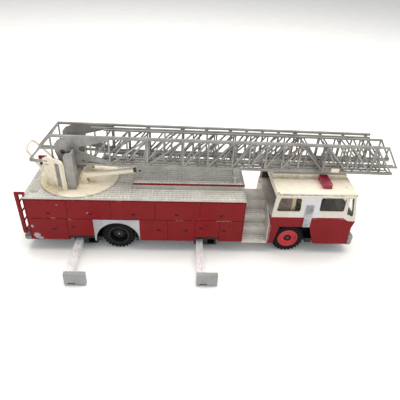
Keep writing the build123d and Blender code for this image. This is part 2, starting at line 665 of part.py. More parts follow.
def make_base_section():
    with BuildPart() as trusses:
        # uprights and diagonals
        with BuildSketch(ladder_plane(-9.1)):
            truss(BASE_POSTS, -7.6, 9.6, 143.0, 1.0)
            bar((190.0, 9.6), (204.0, -7.6), 1.0)
            bar((-6.5, 9.9), (-20.4, -6.0), 1.3)
            bar((-6.5, -6.5), (-6.5, 9.9), 0.9)
            bar((-13.5, 1.6), (-4.0, 1.6), 0.9)
        extrude(amount=0.8)
        # rails
        with BuildSketch(ladder_plane(-8.7)):
            bar((-6.9, 9.95), (193.0, 9.95), 1.3)
            bar((-20.6, -6.6), (27.0, -8.1), 1.3)
            bar((26.0, -8.1), (205.0, -8.1), 1.45)
        extrude(amount=1.6)
        # heel plate with the pivot hole, and the lift lug
        with BuildSketch(ladder_plane(-8.9)):
            add(outline([(-4.6, 0.0), (-4.6, 4.6), (-2.6, 7.2), (3.0, 9.4), (27.5, 9.4), (27.5, 8.0),
                         (9.8, 3.4), (9.4, 0.6), (29.0, -6.4), (29.0, -8.0), (10.0, -5.0),
                         (4.0, -8.0), (-2.4, -8.0)], 0.4))
            add(outline([(43.0, -8.0), (43.4, -13.0), (48.3, -12.9), (68.0, -9.6), (68.0, -8.0)], 0.3))
            with Locations((0, 0)):
                Circle(HEEL_PIN_R + RUN_GAP, mode=Mode.SUBTRACT)
            with Locations(LUG):
                Circle(0.75, mode=Mode.SUBTRACT)
        extrude(amount=1.2)
        mirror(about=Plane.XZ)
    save(trusses, "base_trusses")

    with BuildPart() as floor:
        rungs(29.0, 203.0, 5.8, -8.2, 8.7, skip=(41, 50))
        for place, level in ((-6.2, 9.95), (-20.2, -6.2), (-13.2, 1.6)):
            spot = heel + along * place + Vector(-along.Z, 0, along.X) * level
            with Locations(Location((spot.X, 0, spot.Z), (90, 0, 0))):
                Cylinder(0.55, 17.4 if level > 9 or level < -5 else 18.2)
    save(floor, "base_rungs")

    with BuildPart() as clips:
        for side in (-1, 1):
            low, high = sorted((side * 10.3, side * 11.4))
            block(REAR + 126.9, REAR + 131.2, low, high, 50.8, 56.2)
            low, high = sorted((side * 8.8, side * 10.3))
            block(REAR + 126.9, REAR + 131.2, low, high, 50.8, 51.6)
    save(clips, "ladder_clips")

    with BuildPart() as blocks:
        for side in (-1, 1):
            low, high = sorted((side * 10.3, side * 11.2))
            block(REAR + 188.6, REAR + 193.8, low, high, 54.6, 57.0)
    save(blocks, "guide_blocks")


def make_inner_section(name, posts, start, end_top, end_low, low, high, inner):
    with BuildPart() as trusses:
        with BuildSketch(ladder_plane(-inner - 0.25)):
            truss(posts, low, high, 143.0, 0.9)
            bar((end_top - 0.4, high), (end_low - 0.6, low), 1.0)
        extrude(amount=0.7)
        with BuildSketch(ladder_plane(-inner)):
            bar((start, high), (end_top, high), 1.1)
            bar((start, low), (end_low, low), 1.1)
        extrude(amount=1.2)
        mirror(about=Plane.XZ)
    save(trusses, name + "_trusses")

    with BuildPart() as floor:
        rungs(start + 2.0, end_low - 2.0, 5.8, low - 0.05, inner)
    save(floor, name + "_rungs")


# ---- outriggers ----
def make_outriggers():
    for place, centre in OUTRIGGERS.items():
        for side, hand in ((-1, "right"), (1, "left")):
            x = REAR + centre + side * BEAM_SHIFT
            low, high = sorted((side * PAD_IN, side * BEAM_IN))
            with BuildPart() as beam:
                block(x - BEAM_W / 2, x + BEAM_W / 2, low, high, BEAM_TOP - BEAM_H, BEAM_TOP)
                block(x - 0.9, x + 0.9, low, high, BEAM_TOP - 0.5, BEAM_TOP + 1, Mode.SUBTRACT)
            save(beam, "outrigger_beam_" + place + "_" + hand)

            low, high = sorted((side * PAD_IN, side * (PAD_IN + PAD_THICK)))
            slot = REAR + centre + side * 2.2
            with BuildPart() as pad:
                block(REAR + centre - PAD_W / 2, REAR + centre + PAD_W / 2, low, high, 0.2, 0.2 + PAD_H)
                fillet(pad.edges().filter_by(Axis.Y), 0.6)
                fillet(pad.faces().sort_by(Axis.Y)[0 if side < 0 else -1].edges(), 0.35)
                block(slot - 2.2, slot + 2.2, low - 1, high + 1, 1.0, 2.1, Mode.SUBTRACT)
            save(pad, "jack_pad_" + place + "_" + hand)


make_chassis_base()
make_outrigger_guides()
make_body_shell()
make_door_handles()
make_arch_panels()
make_deck()
make_stairs()
make_rear_fittings()
make_cab_lower()
make_cab_upper()
make_cab_windows()
make_cab_roof()
make_cab_fittings()
make_cab_inside()
make_wheels()
make_turntable()
make_rams()
make_base_section()
make_inner_section("mid", MID_POSTS, 14.0, 192.5, 198.0, -6.8, 8.4, 7.0)
make_inner_section("fly", FLY_POSTS, 22.0, 200.3, 209.3, -5.5, 7.9, 5.2)
make_outriggers()

print("lift eye", round(lug_at.X, 3), round(lug_at.Z, 3), "ram angle",
      round(math.degrees(math.atan2(ram_run.Z, ram_run.X)), 3), "length", round(ram_run.length, 3))
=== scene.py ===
import json
import math

import bpy
from mathutils import Matrix, Vector


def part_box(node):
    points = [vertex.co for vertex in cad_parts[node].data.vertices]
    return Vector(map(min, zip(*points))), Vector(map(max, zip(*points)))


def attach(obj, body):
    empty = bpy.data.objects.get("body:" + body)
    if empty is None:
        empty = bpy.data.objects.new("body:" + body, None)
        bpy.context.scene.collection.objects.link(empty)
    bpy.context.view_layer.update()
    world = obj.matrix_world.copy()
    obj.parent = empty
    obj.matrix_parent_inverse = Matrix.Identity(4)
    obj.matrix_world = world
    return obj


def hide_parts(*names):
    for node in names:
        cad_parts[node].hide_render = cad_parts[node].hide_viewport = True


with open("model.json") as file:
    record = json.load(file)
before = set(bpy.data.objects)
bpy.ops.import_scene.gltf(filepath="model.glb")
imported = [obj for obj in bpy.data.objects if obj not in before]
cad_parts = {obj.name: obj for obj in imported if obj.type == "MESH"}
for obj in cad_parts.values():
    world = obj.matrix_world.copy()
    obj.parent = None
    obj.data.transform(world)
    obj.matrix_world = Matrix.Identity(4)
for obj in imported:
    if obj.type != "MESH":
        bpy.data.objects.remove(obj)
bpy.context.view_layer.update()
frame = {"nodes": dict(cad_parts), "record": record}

MM = 0.001


def box_mm(name):
    """Lowest and highest corner of a CAD node at rest, in millimetres."""
    low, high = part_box(name)
    return [c / MM for c in low], [c / MM for c in high]


def centre_mm(name):
    """Middle of a CAD node's box at rest, in millimetres."""
    low, high = box_mm(name)
    return Vector([(a + b) / 2 for a, b in zip(low, high)])


# ---- small helpers ----
def paint(code):
    """Linear RGBA of an sRGB hex colour."""
    channels = [int(code[i:i + 2], 16) / 255 for i in (1, 3, 5)]
    return [c / 12.92 if c <= 0.04045 else ((c + 0.055) / 1.055) ** 2.4 for c in channels] + [1.0]


def node(tree, kind, inputs, out=0, **settings):
    """Adds a shader node with its settings, values and links, and gives back one of its outputs."""
    new = tree.nodes.new("ShaderNode" + kind)
    for name, value in settings.items():
        setattr(new, name, value)
    for name, value in inputs.items():
        if isinstance(value, bpy.types.NodeSocket):
            tree.links.new(value, new.inputs[name])
        else:
            new.inputs[name].default_value = value
    return new.outputs[out]


def finish(name, base, roughness, **values):
    """A new material with one Principled shader, and its tree and object coordinates."""
    material = bpy.data.materials.new(name)
    material.use_nodes = True
    tree = material.node_tree
    shader = tree.nodes["Principled BSDF"]
    shader.inputs["Base Color"].default_value = paint(base)
    shader.inputs["Roughness"].default_value = roughness
    for socket, value in values.items():
        shader.inputs[socket.replace("_", " ")].default_value = value
    return material, tree, shader, node(tree, "TexCoord", {}, "Object")


def blotches(tree, place, size_mm, low, high, detail=4.0, rough=0.6):
    """Soft noise of patches about size_mm across, as a 0 to 1 mask between two thresholds."""
    spread = {"Vector": place, "Scale": 1 / (size_mm * MM), "Detail": detail, "Roughness": rough}
    noise = node(tree, "TexNoise", spread)
    return node(tree, "MapRange", {"Value": noise, "From Min": low, "From Max": high})


# cosine between a piece's true and rounded normals: still on a flat, and well on an edge
ON_FLAT = 0.995
ON_EDGE = 0.88


def edges(tree, width_mm):
    """1 along the sharp outer and inner edges of a piece and 0 on its flats, and its rounded normal."""
    rounded = node(tree, "Bevel", {"Radius": width_mm * MM}, samples=6)
    true = node(tree, "NewGeometry", {}, "True Normal")
    dot = node(tree, "VectorMath", {0: rounded, 1: true}, "Value", operation="DOT_PRODUCT")
    return node(tree, "MapRange", {"Value": dot, "From Min": ON_FLAT, "From Max": ON_EDGE}), rounded


# the colour sockets of a mixing node
FIRST_COLOUR = 6
SECOND_COLOUR = 7
MIXED_COLOUR = 2


def laid(tree, colour, tone, mask, amount=1.0):
    """A colour with a tone laid over it where the mask is 1, as strongly as the amount."""
    if amount < 1:
        mask = node(tree, "Math", {0: mask, 1: amount}, operation="MULTIPLY", use_clamp=True)
    under = colour if isinstance(colour, bpy.types.NodeSocket) else paint(colour)
    inputs = {"Factor": mask, FIRST_COLOUR: under, SECOND_COLOUR: paint(tone)}
    return node(tree, "Mix", inputs, MIXED_COLOUR, data_type="RGBA")


def region(tree, place, centre, half, soft_mm=0.4):
    """1 inside a box given in millimetres, falling to 0 over soft_mm outside it."""
    middle = [c * MM for c in centre]
    reach = [h * MM for h in half]
    away = node(tree, "VectorMath", {0: place, 1: middle}, operation="SUBTRACT")
    away = node(tree, "VectorMath", {0: away}, operation="ABSOLUTE")
    past = node(tree, "VectorMath", {0: away, 1: reach}, operation="SUBTRACT")
    parts = node(tree, "SeparateXYZ", {0: past}).node.outputs
    far = node(tree, "Math", {0: parts["X"], 1: parts["Y"]}, operation="MAXIMUM")
    far = node(tree, "Math", {0: far, 1: parts["Z"]}, operation="MAXIMUM")
    return node(tree, "MapRange", {"Value": far, "From Min": soft_mm * MM, "From Max": 0.0})


def relief(tree, shader, place, per_mm, detail, depth_mm, strength, under=None, sunk=None):
    """Fine swells, so many to the millimetre, over a rounded normal; a mask may sink into them."""
    height = node(tree, "TexNoise", {"Vector": place, "Scale": per_mm / MM, "Detail": detail})
    if sunk is not None:
        drop = node(tree, "Math", {0: sunk, 1: CHIP_DROP}, operation="MULTIPLY", use_clamp=True)
        height = node(tree, "Math", {0: height, 1: drop}, operation="SUBTRACT", use_clamp=True)
    inputs = {"Height": height, "Distance": depth_mm * MM, "Strength": strength}
    if under is not None:
        inputs["Normal"] = under
    tree.links.new(node(tree, "Bump", inputs), shader.inputs["Normal"])


# ---- materials ----
CHIP_DROP = 0.8               # how far a chip sinks, of the swells' own height
CHIP_WANDER = 2.6 * MM        # how far a chip's outline strays
CHIP_RIM = 0.86               # where a chip is whole, of the reach at which it ends
RIPPLES_PER_MM = 0.65         # flow of the enamel as it was stoved


def enamel(name, base, dark, pale, primer, wear, dirt, dirt_amount, chips=(), patches=(), sheen=0.5):
    """Stoved enamel on a zinc die casting: glossy, faintly rippled, rubbed thin and chipped on its edges."""
    material, tree, shader, place = finish(name, base, 0.33, Specular_IOR_Level=sheen)
    edge, rounded = edges(tree, 0.28)
    colour = laid(tree, base, dark, blotches(tree, place, 24, 0.35, 0.7))
    colour = laid(tree, colour, pale, blotches(tree, place, 0.9, 0.56, 0.74, 6.0), 0.35)
    # areas from the lists laid in another colour: paint and stains, and also painted shade, shadow and light
    for centre, half, soft, tone, amount in patches:
        inside = region(tree, place, centre, half, soft)
        if amount < 1:
            mottle = blotches(tree, place, 2.5, 0.35, 0.65, 8.0, 0.75)
            inside = node(tree, "Math", {0: inside, 1: mottle}, operation="MULTIPLY", use_clamp=True)
        colour = laid(tree, colour, tone, inside, amount)
    colour = laid(tree, colour, dirt, blotches(tree, place, 3.5, 0.52, 0.78, 8.0, 0.72), dirt_amount)
    speckle = blotches(tree, place, 1.6, wear, wear + 0.05, 5.0)
    chip = node(tree, "Math", {0: edge, 1: speckle}, operation="MULTIPLY", use_clamp=True)
    # chips worn through where the toy was knocked, with outlines bent by noise: centre and reach
    warp = node(tree, "TexNoise", {"Vector": place, "Scale": 0.7 / MM, "Detail": 6.0}, "Color")
    wobble = node(tree, "VectorMath", {0: warp, "Scale": CHIP_WANDER}, operation="SCALE")
    bent = node(tree, "VectorMath", {0: place, 1: wobble}, operation="ADD")
    for centre, reach in chips:
        spot = [c * MM + CHIP_WANDER / 2 for c in centre]
        away = node(tree, "VectorMath", {0: bent, 1: spot}, operation="SUBTRACT")
        flat = node(tree, "VectorMath", {0: away, 1: [1 / (r * MM) for r in reach]}, operation="MULTIPLY")
        distance = node(tree, "VectorMath", {0: flat}, "Value", operation="LENGTH")
        hit = node(tree, "MapRange", {"Value": distance, "From Min": 1.0, "From Max": CHIP_RIM})
        chip = node(tree, "Math", {0: chip, 1: hit}, operation="MAXIMUM", use_clamp=True)
    tree.links.new(laid(tree, colour, primer, chip), shader.inputs["Base Color"])
    scuffs = blotches(tree, place, 5.0, 0.4, 0.75, 6.0)
    gloss = node(tree, "MapRange", {"Value": scuffs, "To Min": 0.27, "To Max": 0.46})
    dull = node(tree, "Math", {0: chip, 1: 0.2}, operation="MULTIPLY", use_clamp=True)
    gloss = node(tree, "Math", {0: gloss, 1: dull}, operation="ADD", use_clamp=True)
    tree.links.new(gloss, shader.inputs["Roughness"])
    relief(tree, shader, place, RIPPLES_PER_MM, 2.0, 0.05, 0.6, rounded, chip)
    return material


# worn spots: centre and reach in millimetres
BODY_CHIPS = [
    ((-110.2, -25, 12.2), (2.0, 3, 2.2)), ((-108.6, -25, 10.3), (2.6, 3, 1.0)),
    ((-111.8, -25, 19.6), (1.0, 3, 1.3)), ((-88.3, -25, 26.0), (0.6, 3, 0.35)),
    ((-98.0, -25, 26.1), (1.8, 3, 0.22)), ((-76.6, -25, 29.9), (1.1, 3, 0.35)),
    ((-56.5, -25, 39.6), (1.5, 3, 0.3)), ((-94.5, -25, 36.0), (0.9, 3, 0.2)),
    ((-87.4, -25, 24.8), (0.8, 3, 0.25)), ((8.5, -25, 25.4), (5.5, 3, 0.16)),
    ((-20.0, -25, 25.4), (3.0, 3, 0.15)), ((-4.0, -25, 9.6), (1.2, 3, 0.4)),
    ((-111.0, 25, 12.0), (2.2, 3, 2.0)),
]
CAB_CHIPS = [
    ((65.5, -25, 28.6), (2.0, 3, 0.18)), ((83.5, -25, 28.5), (2.6, 3, 0.16)),
    ((38.3, -25, 19.0), (0.25, 3, 5.0)), ((38.2, -25, 11.5), (0.25, 3, 3.5)),
    ((90.5, 25, 10.0), (2.0, 3, 0.8)),
]
ROOF_CHIPS = [
    ((40.0, -25.6, 47.6), (0.9, 1.6, 0.6)), ((45.5, -25.6, 46.2), (5.0, 1.2, 0.3)),
    ((62.0, -25.6, 46.3), (6.0, 1.2, 0.25)), ((84.0, -18.0, 48.0), (0.7, 0.5, 0.6)),
]
# areas laid in another colour, whether stains, paint, or painted shade, shadow and light: centre, half size,
# softness, colour and strength
ROOF_MARKS_AND_PAINTED_LIGHT = [
    # darker along the gutters
    ((65.0, -25.2, 46.25), (28.0, 1.0, 0.25), 0.4, "#7d6c50", 0.9),
    ((65.0, 25.2, 46.25), (28.0, 1.0, 0.25), 0.4, "#7d6c50", 0.9),
    # painted shadow of the ladder down the middle of the roof
    ((64.0, 0.0, 48.6), (28.0, 8.0, 0.9), 0.7, "#a89c7a", 0.95),
    # painted pink light from the beacons, round each of them
    ((70.0, -14.0, 48.0), (2.6, 5.8, 0.9), 2.2, "#e79a9f", 0.99),
    ((70.0, 14.0, 48.0), (2.6, 5.8, 0.9), 2.2, "#e79a9f", 0.99),
]
CAB_PANEL_AND_PAINTED_SHADE = [
    ((62.5, 0, 38.0), (5.4, 26.0, 9.0), 0.3, "#c8c8ca", 1),
    # painted shade under the roof's lip, along the top of each side
    ((64.0, -25.0, 45.1), (28.0, 1.0, 0.3), 0.5, "#8d7d62", 0.8),
    ((64.0, 25.0, 45.1), (28.0, 1.0, 0.3), 0.5, "#8d7d62", 0.8),
    # painted shade over the inside of the cab casting, the inner faces of the window frames with it
    ((66.0, 0, 37.0), (25.3, 24.2, 9.0), 0.3, "#4b4a41", 1),
]
DISC_PAINTED_SHADOWS = [
    # painted shadows of the ladder and the parts over it on the turntable's top
    ((-103.0, -12.0, 42.6), (9.0, 9.0, 1.0), 6.0, "#a89568", 0.9),
    ((-84.0, 0.0, 42.6), (9.0, 7.0, 1.0), 5.0, "#8f7f5c", 0.8),
]


def tread_silver():
    """Silver paint over a cast plate: satin, grimy in the low parts, bright where feet would rub."""
    material, tree, shader, place = finish("silver_paint_worn", "#b4b1aa", 0.45, Metallic=0.3)
    edge, rounded = edges(tree, 0.2)
    colour = laid(tree, "#c3c0b9", "#aaa69d", blotches(tree, place, 9, 0.35, 0.7, 6.0))
    colour = laid(tree, colour, "#7f7a6f", blotches(tree, place, 1.3, 0.5, 0.72, 8.0, 0.75), 0.5)
    colour = laid(tree, colour, "#e2e0d9", edge, 0.6)
    tree.links.new(colour, shader.inputs["Base Color"])
    patches = blotches(tree, place, 2.4, 0.35, 0.7, 6.0)
    gloss = node(tree, "MapRange", {"Value": patches, "To Min": 0.34, "To Max": 0.58})
    tree.links.new(gloss, shader.inputs["Roughness"])
    relief(tree, shader, place, 2.6, 3.0, 0.03, 0.5, rounded)
    return material


def moulded(name, base, dark, pale, roughness, grain_mm, depth_mm, dirt, metallic=0.0):
    """Smooth moulded or sprayed skin: fine grain, dust in patches, edges rubbed paler."""
    material, tree, shader, place = finish(name, base, roughness, Metallic=metallic)
    if metallic == 0:
        shader.inputs["IOR"].default_value = 1.46
    edge, rounded = edges(tree, 0.2)
    colour = laid(tree, base, dark, blotches(tree, place, 12, 0.35, 0.7))
    colour = laid(tree, colour, dark, blotches(tree, place, 1.8, 0.5, 0.75, 7.0, 0.7), dirt)
    colour = laid(tree, colour, pale, edge, 0.35)
    tree.links.new(colour, shader.inputs["Base Color"])
    low, high = max(roughness - 0.09, 0.05), min(roughness + 0.12, 1.0)
    patches = blotches(tree, place, 3.0, 0.35, 0.7, 6.0)
    gloss = node(tree, "MapRange", {"Value": patches, "To Min": low, "To Max": high})
    tree.links.new(gloss, shader.inputs["Roughness"])
    relief(tree, shader, place, 1 / grain_mm, 4.0, depth_mm, 0.6, rounded)
    return material


def plated_steel():
    """Bright nickel-plated steel strip: drawn lengthwise, so it has fine lines and scratches along Y."""
    material, tree, shader, place = finish("nickel_plated_drawn_steel", "#e4e6e9", 0.3, Metallic=0.3)
    lines_per_mm = 3.2
    stretch = node(tree, "Mapping", {"Vector": place, "Scale": (1.0, 0.04, 1.0)})
    lines = node(tree, "TexNoise", {"Vector": stretch, "Scale": lines_per_mm / MM, "Detail": 5.0})
    colour = laid(tree, "#eef0f2", "#9d9c9a", blotches(tree, place, 4.0, 0.45, 0.75, 7.0, 0.7), 0.55)
    tree.links.new(colour, shader.inputs["Base Color"])
    spread = {"Value": lines, "From Min": 0.3, "From Max": 0.7, "To Min": 0.2, "To Max": 0.42}
    tree.links.new(node(tree, "MapRange", spread), shader.inputs["Roughness"])
    relief(tree, shader, stretch, lines_per_mm, 5.0, 0.03, 0.5, edges(tree, 0.2)[1])
    return material


def tyre_rubber():
    """Moulded rubber: near black, matt, with pale dust caught in its grain."""
    material, tree, shader, place = finish("moulded_tyre_rubber", "#0b0d0c", 0.78, IOR=1.52)
    shader.inputs["Specular IOR Level"].default_value = 0.18
    colour = laid(tree, "#0b0d0c", "#2a2d2b", blotches(tree, place, 2.2, 0.45, 0.75, 8.0, 0.75), 0.3)
    edge, rounded = edges(tree, 0.15)
    colour = laid(tree, colour, "#1f2322", edge, 0.3)
    tree.links.new(colour, shader.inputs["Base Color"])
    relief(tree, shader, place, 3.5, 4.0, 0.04, 0.7, rounded)
    return material


def clear_plastic():
    """Clear polystyrene pane: thin, slightly hazed with fine scratches."""
    material, tree, shader, place = finish("clear_polystyrene", "#f3f5f4", 0.05, IOR=1.45, Alpha=0.22)
    shader.inputs["Transmission Weight"].default_value = 1.0
    haze = blotches(tree, place, 3.0, 0.5, 0.8, 8.0, 0.75)
    gloss = node(tree, "MapRange", {"Value": haze, "To Min": 0.02, "To Max": 0.14})
    tree.links.new(gloss, shader.inputs["Roughness"])
    relief(tree, shader, place, 1.4, 5.0, 0.01, 0.3)
    return material


def beacon_plastic():
    """Translucent raspberry polystyrene: glossy, deeper where thick, with light spreading inside it."""
    material, tree, shader, place = finish("translucent_raspberry_polystyrene", "#9c1238", 0.16, IOR=1.5)
    shader.inputs["Transmission Weight"].default_value = 0.25
    shader.inputs["Subsurface Weight"].default_value = 0.35
    shader.inputs["Subsurface Scale"].default_value = 1.5 * MM
    shader.inputs["Coat Weight"].default_value = 0.4
    colour = laid(tree, "#a5153f", "#7d0c2e", blotches(tree, place, 3.5, 0.35, 0.7))
    edge, rounded = edges(tree, 0.3)
    colour = laid(tree, colour, "#c23a5f", edge, 0.5)
    tree.links.new(colour, shader.inputs["Base Color"])
    relief(tree, shader, place, 0.7, 2.0, 0.04, 0.4, rounded)
    return material


def rim_plastic():
    """Bright red moulded wheel centre, with painted shade, near black, in the hub's hollow."""
    material = moulded("red_styrene_hub", "#b8232f", "#9a1821", "#d0505a", 0.28, 0.4, 0.01, 0.25)
    tree = material.node_tree
    shader = tree.nodes["Principled BSDF"]
    place = node(tree, "TexCoord", {}, "Object")
    axle = centre_mm("front_rims") * MM
    away = node(tree, "VectorMath", {0: place, 1: axle}, operation="SUBTRACT")
    away = node(tree, "VectorMath", {0: away, 1: (1, 0, 1)}, operation="MULTIPLY")
    reach = node(tree, "VectorMath", {0: away}, "Value", operation="LENGTH")
    # the painted shade fills the hollow, from the axle's end to the hollow's wall
    within = node(tree, "MapRange", {"Value": reach, "From Min": 2.55 * MM, "From Max": 2.3 * MM})
    beyond = node(tree, "MapRange", {"Value": reach, "From Min": 0.3 * MM, "From Max": 0.6 * MM})
    hollow_shade = node(tree, "Math", {0: within, 1: beyond}, operation="MULTIPLY", use_clamp=True)
    unshaded_red = shader.inputs["Base Color"].links[0].from_socket
    tree.links.new(laid(tree, unshaded_red, "#1c0b0c", hollow_shade), shader.inputs["Base Color"])
    return material


# front wheel centres: bright red with painted shade in the hollow, glossy as moulded
HUB = rim_plastic()
# body and lower cab: deep red enamel, chipped to its grey primer, its gloss dulled by handling
RED = enamel("red_stoved_enamel", "#7d1117", "#700d12", "#8c2025", "#98989a", 0.62, "#4c1113", 0.35,
             BODY_CHIPS + CAB_CHIPS, sheen=0.15)
# caps, barrels and rail: cream enamel gone brown with grime in patches
CREAM = enamel("cream_stoved_enamel", "#e9e0cd", "#dcd0b8", "#f1e8d2", "#8f8c84", 0.62, "#9c8c6c", 0.45)
# roof: the same cream, darker along its gutters, with the ladder's shadow painted down its middle and the
# beacons' pink light painted round them
ROOF_CREAM = enamel("cream_stoved_enamel_roof", "#ece4d3", "#e1d7c1", "#f3ead6", "#8f8c84", 0.60,
                    "#a39474", 0.4, ROOF_CHIPS, ROOF_MARKS_AND_PAINTED_LIGHT)
# upper cab: a greyer cream, with a pale grey panel behind the strip, painted shade under the roof's lip and
# painted shade over its inside
CAB_CREAM = enamel("cream_stoved_enamel_cab", "#cdc6bb", "#c2b9aa", "#dcd6ca", "#8f8c84", 0.62,
                   "#a39474", 0.35, ROOF_CHIPS, CAB_PANEL_AND_PAINTED_SHADE)
# turntable and console: the same cream, with painted shadows under the ladder on the turntable's top
DISC_CREAM = enamel("cream_stoved_enamel_turntable", "#e6decc", "#d7ccb3", "#f4eddc", "#7c776c", 0.60,
                    "#8c7b56", 0.65, (), DISC_PAINTED_SHADOWS)
# deck, stairs and landing: satin silver paint with grime in its low parts
SILVER = tread_silver()
# panels round the rear wheels: cool satin silver, nearly even
PANEL = moulded("satin_silver_paint", "#a9abae", "#96989a", "#d0d1d2", 0.36, 0.4, 0.015, 0.3, 0.6)
# ladder, posts and clips: warm grey moulded plastic with a silver pigment, so a soft broad shine
LADDER = moulded("silver_grey_styrene", "#9c9a96", "#77746f", "#c9c7c2", 0.45, 0.3, 0.02, 0.45, 0.25)
# base plate and rear wheel centres: dusty black plastic, half matt
BLACK = moulded("black_styrene", "#191a1a", "#0f1010", "#3a3b3b", 0.5, 0.3, 0.02, 0.3)
# tyres: near black and matt, so only their lugs catch the light
RUBBER = tyre_rubber()
# small red wheel parts: glossy red plastic
RIM = moulded("red_styrene", "#b3222c", "#97161f", "#cf4a50", 0.3, 0.4, 0.01, 0.25)
# pins, axles and ram rods: dark oiled steel with a low sharp shine
STEEL = moulded("oiled_steel", "#5c5a57", "#35332f", "#8c8a86", 0.35, 0.2, 0.01, 0.4, 0.85)
# cab interior: dull brown, a painted shade standing for the cab's cream inside in shadow
INSIDE_SHADE_BROWN = moulded("brown_painted_shade", "#5d443b", "#4a352e", "#7d6256", 0.5, 0.3, 0.02, 0.4)
# seats: buff plastic, yellower than the enamel
SEAT = moulded("buff_styrene", "#d9c795", "#bfac7b", "#e9dcb4", 0.48, 0.3, 0.02, 0.35)
# windows: thin clear sheet that only shows by its shine
GLASS = clear_plastic()
# beacons: raspberry plastic that glows at its edges
BEACON = beacon_plastic()
# headlamps and axle ends: smooth and nearly white
LAMP = moulded("bright_lamp_plastic", "#dcdcd8", "#bfbfba", "#f4f4f2", 0.15, 0.6, 0.01, 0.15, 0.5)
# outrigger beams: bright plate drawn lengthwise, tarnished in patches
PLATED = plated_steel()
# tops of the tread pattern: silver paint rubbed bright
RUBBED = moulded("silver_paint_rubbed_bright", "#e0dfda", "#b8b5ac", "#f6f5f2", 0.38, 0.4, 0.02, 0.5,
                 0.35)
# tread strips on the cab: silver paint speckled with dark wear
STRIP = moulded("silver_paint_strip", "#b4b6b9", "#5f6063", "#e6e7e9", 0.4, 0.4, 0.02, 0.95, 0.4)
# front bumper and rear step: silver paint gone dull and dirty
BUMPER = moulded("dull_silver_paint", "#9b9a96", "#62605c", "#d2d1cd", 0.36, 0.5, 0.02, 0.8, 0.5)
# cab walls inside and dashboard: flat grey green plastic
INSIDE = moulded("grey_green_styrene", "#55564b", "#45463c", "#77786c", 0.5, 0.3, 0.02, 0.4)
# grey strip in the console's recess: a painted shade standing for the recess's shaded inner wall
CONSOLE_SHADE_GREY = moulded("console_painted_shade_grey", "#8e9091", "#6f7172", "#b4b6b8", 0.42, 0.3, 0.02, 0.5)
# jack pads: even mid grey plastic
PAD = moulded("grey_styrene", "#949495", "#7f7f80", "#b5b5b6", 0.45, 0.3, 0.02, 0.3)

FINISHES = {
    "red_enamel": RED, "cream_enamel": CREAM, "tread_plate": SILVER, "silver_panel": PANEL,
    "ladder_grey": LADDER, "base_black": BLACK, "tyre_black": RUBBER, "rim_red": RIM,
    "inside_grey": INSIDE, "steel_pin": STEEL, "interior_brown": INSIDE_SHADE_BROWN, "seat_cream": SEAT,
    "clear_window": GLASS, "beacon_red": BEACON, "lamp_clear": LAMP, "chrome_beam": PLATED,
    "pad_grey": PAD,
}
# nodes whose wear differs from the rest of their slot's
OWN = {
    "cab_side_strips": STRIP, "front_rims": HUB, "cab_roof": ROOF_CREAM, "cab_upper": CAB_CREAM,
    "front_bumper": BUMPER, "rear_step": BUMPER, "turntable_disc": DISC_CREAM,
    "control_console": DISC_CREAM,
}
for part in frame["record"]["subparts"]:
    carried = frame["nodes"][part["node"]]
    carried.data.materials.clear()
    carried.data.materials.append(OWN.get(part["node"], FINISHES[part["material_slot"]]))


# ---- pieces modelled here ----
def start_piece(name):
    """The object just added, renamed, with its place and size put into its mesh."""
    piece = bpy.context.object
    piece.name = name
    piece.data.name = name
    bpy.ops.object.transform_apply(location=True, rotation=True, scale=True)
    return piece


def slab(name, low, high, bevel_mm=0.0, segments=2):
    """A block between two corners in millimetres, with bevelled edges."""
    bpy.ops.object.select_all(action="DESELECT")
    centre = [(a + b) / 2 * MM for a, b in zip(low, high)]
    bpy.ops.mesh.primitive_cube_add(size=1.0, location=centre)
    bpy.context.object.scale = [(b - a) * MM for a, b in zip(low, high)]
    piece = start_piece(name)
    if bevel_mm:
        bpy.ops.object.mode_set(mode="EDIT")
        bpy.ops.mesh.select_all(action="SELECT")
        bpy.ops.mesh.bevel(offset=bevel_mm * MM, segments=segments, affect="EDGES")
        bpy.ops.object.mode_set(mode="OBJECT")
    return piece


def copy_moved(piece, matrix):
    """A copy with its own mesh, moved by the matrix."""
    twin = piece.copy()
    twin.data = piece.data.copy()
    twin.data.transform(matrix)
    bpy.context.collection.objects.link(twin)
    return twin


def join(name, pieces):
    """Several pieces made one, under a new name."""
    bpy.ops.object.select_all(action="DESELECT")
    for piece in pieces:
        piece.select_set(True)
    bpy.context.view_layer.objects.active = pieces[0]
    bpy.ops.object.join()
    joined = bpy.context.object
    joined.name = name
    joined.data.name = name
    return joined


def dress(piece, material, body, angle=35):
    """Normals outward, smooth rounds with sharp edges kept, its finish and the body it rides on."""
    bpy.ops.object.select_all(action="DESELECT")
    piece.select_set(True)
    bpy.context.view_layer.objects.active = piece
    bpy.ops.object.mode_set(mode="EDIT")
    bpy.ops.mesh.select_all(action="SELECT")
    bpy.ops.mesh.normals_make_consistent(inside=False)
    bpy.ops.object.mode_set(mode="OBJECT")
    bpy.ops.object.shade_smooth_by_angle(angle=math.radians(angle))
    piece.data.materials.clear()
    piece.data.materials.append(material)
    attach(piece, body)
    return piece


def about(point, degrees, axis):
    """A turn about an axis through a point given in millimetres."""
    shift = Matrix.Translation([p * MM for p in point])
    return shift @ Matrix.Rotation(math.radians(degrees), 4, axis) @ shift.inverted()


# the cast tread pattern, in millimetres and degrees
TREAD_PITCH = 2.3             # between lozenges along each row
TREAD_INSET = (0.8, 0.9)      # from a field's corner to its first lozenge
TREAD_SPARE = 0.4             # what a field keeps free when its rows are counted
TREAD_END = 0.6               # nearest that a lozenge's middle comes to the field's end
LOZENGE_LONG = 1.85
LOZENGE_WIDE = 0.72
LOZENGE_HIGH = 0.26
LOZENGE_SUNK = 0.02           # into the plate, so no gap shows under it
LOZENGE_LEAN = 42
LOZENGE_TOP = (0.7, 0.45, 1.0)


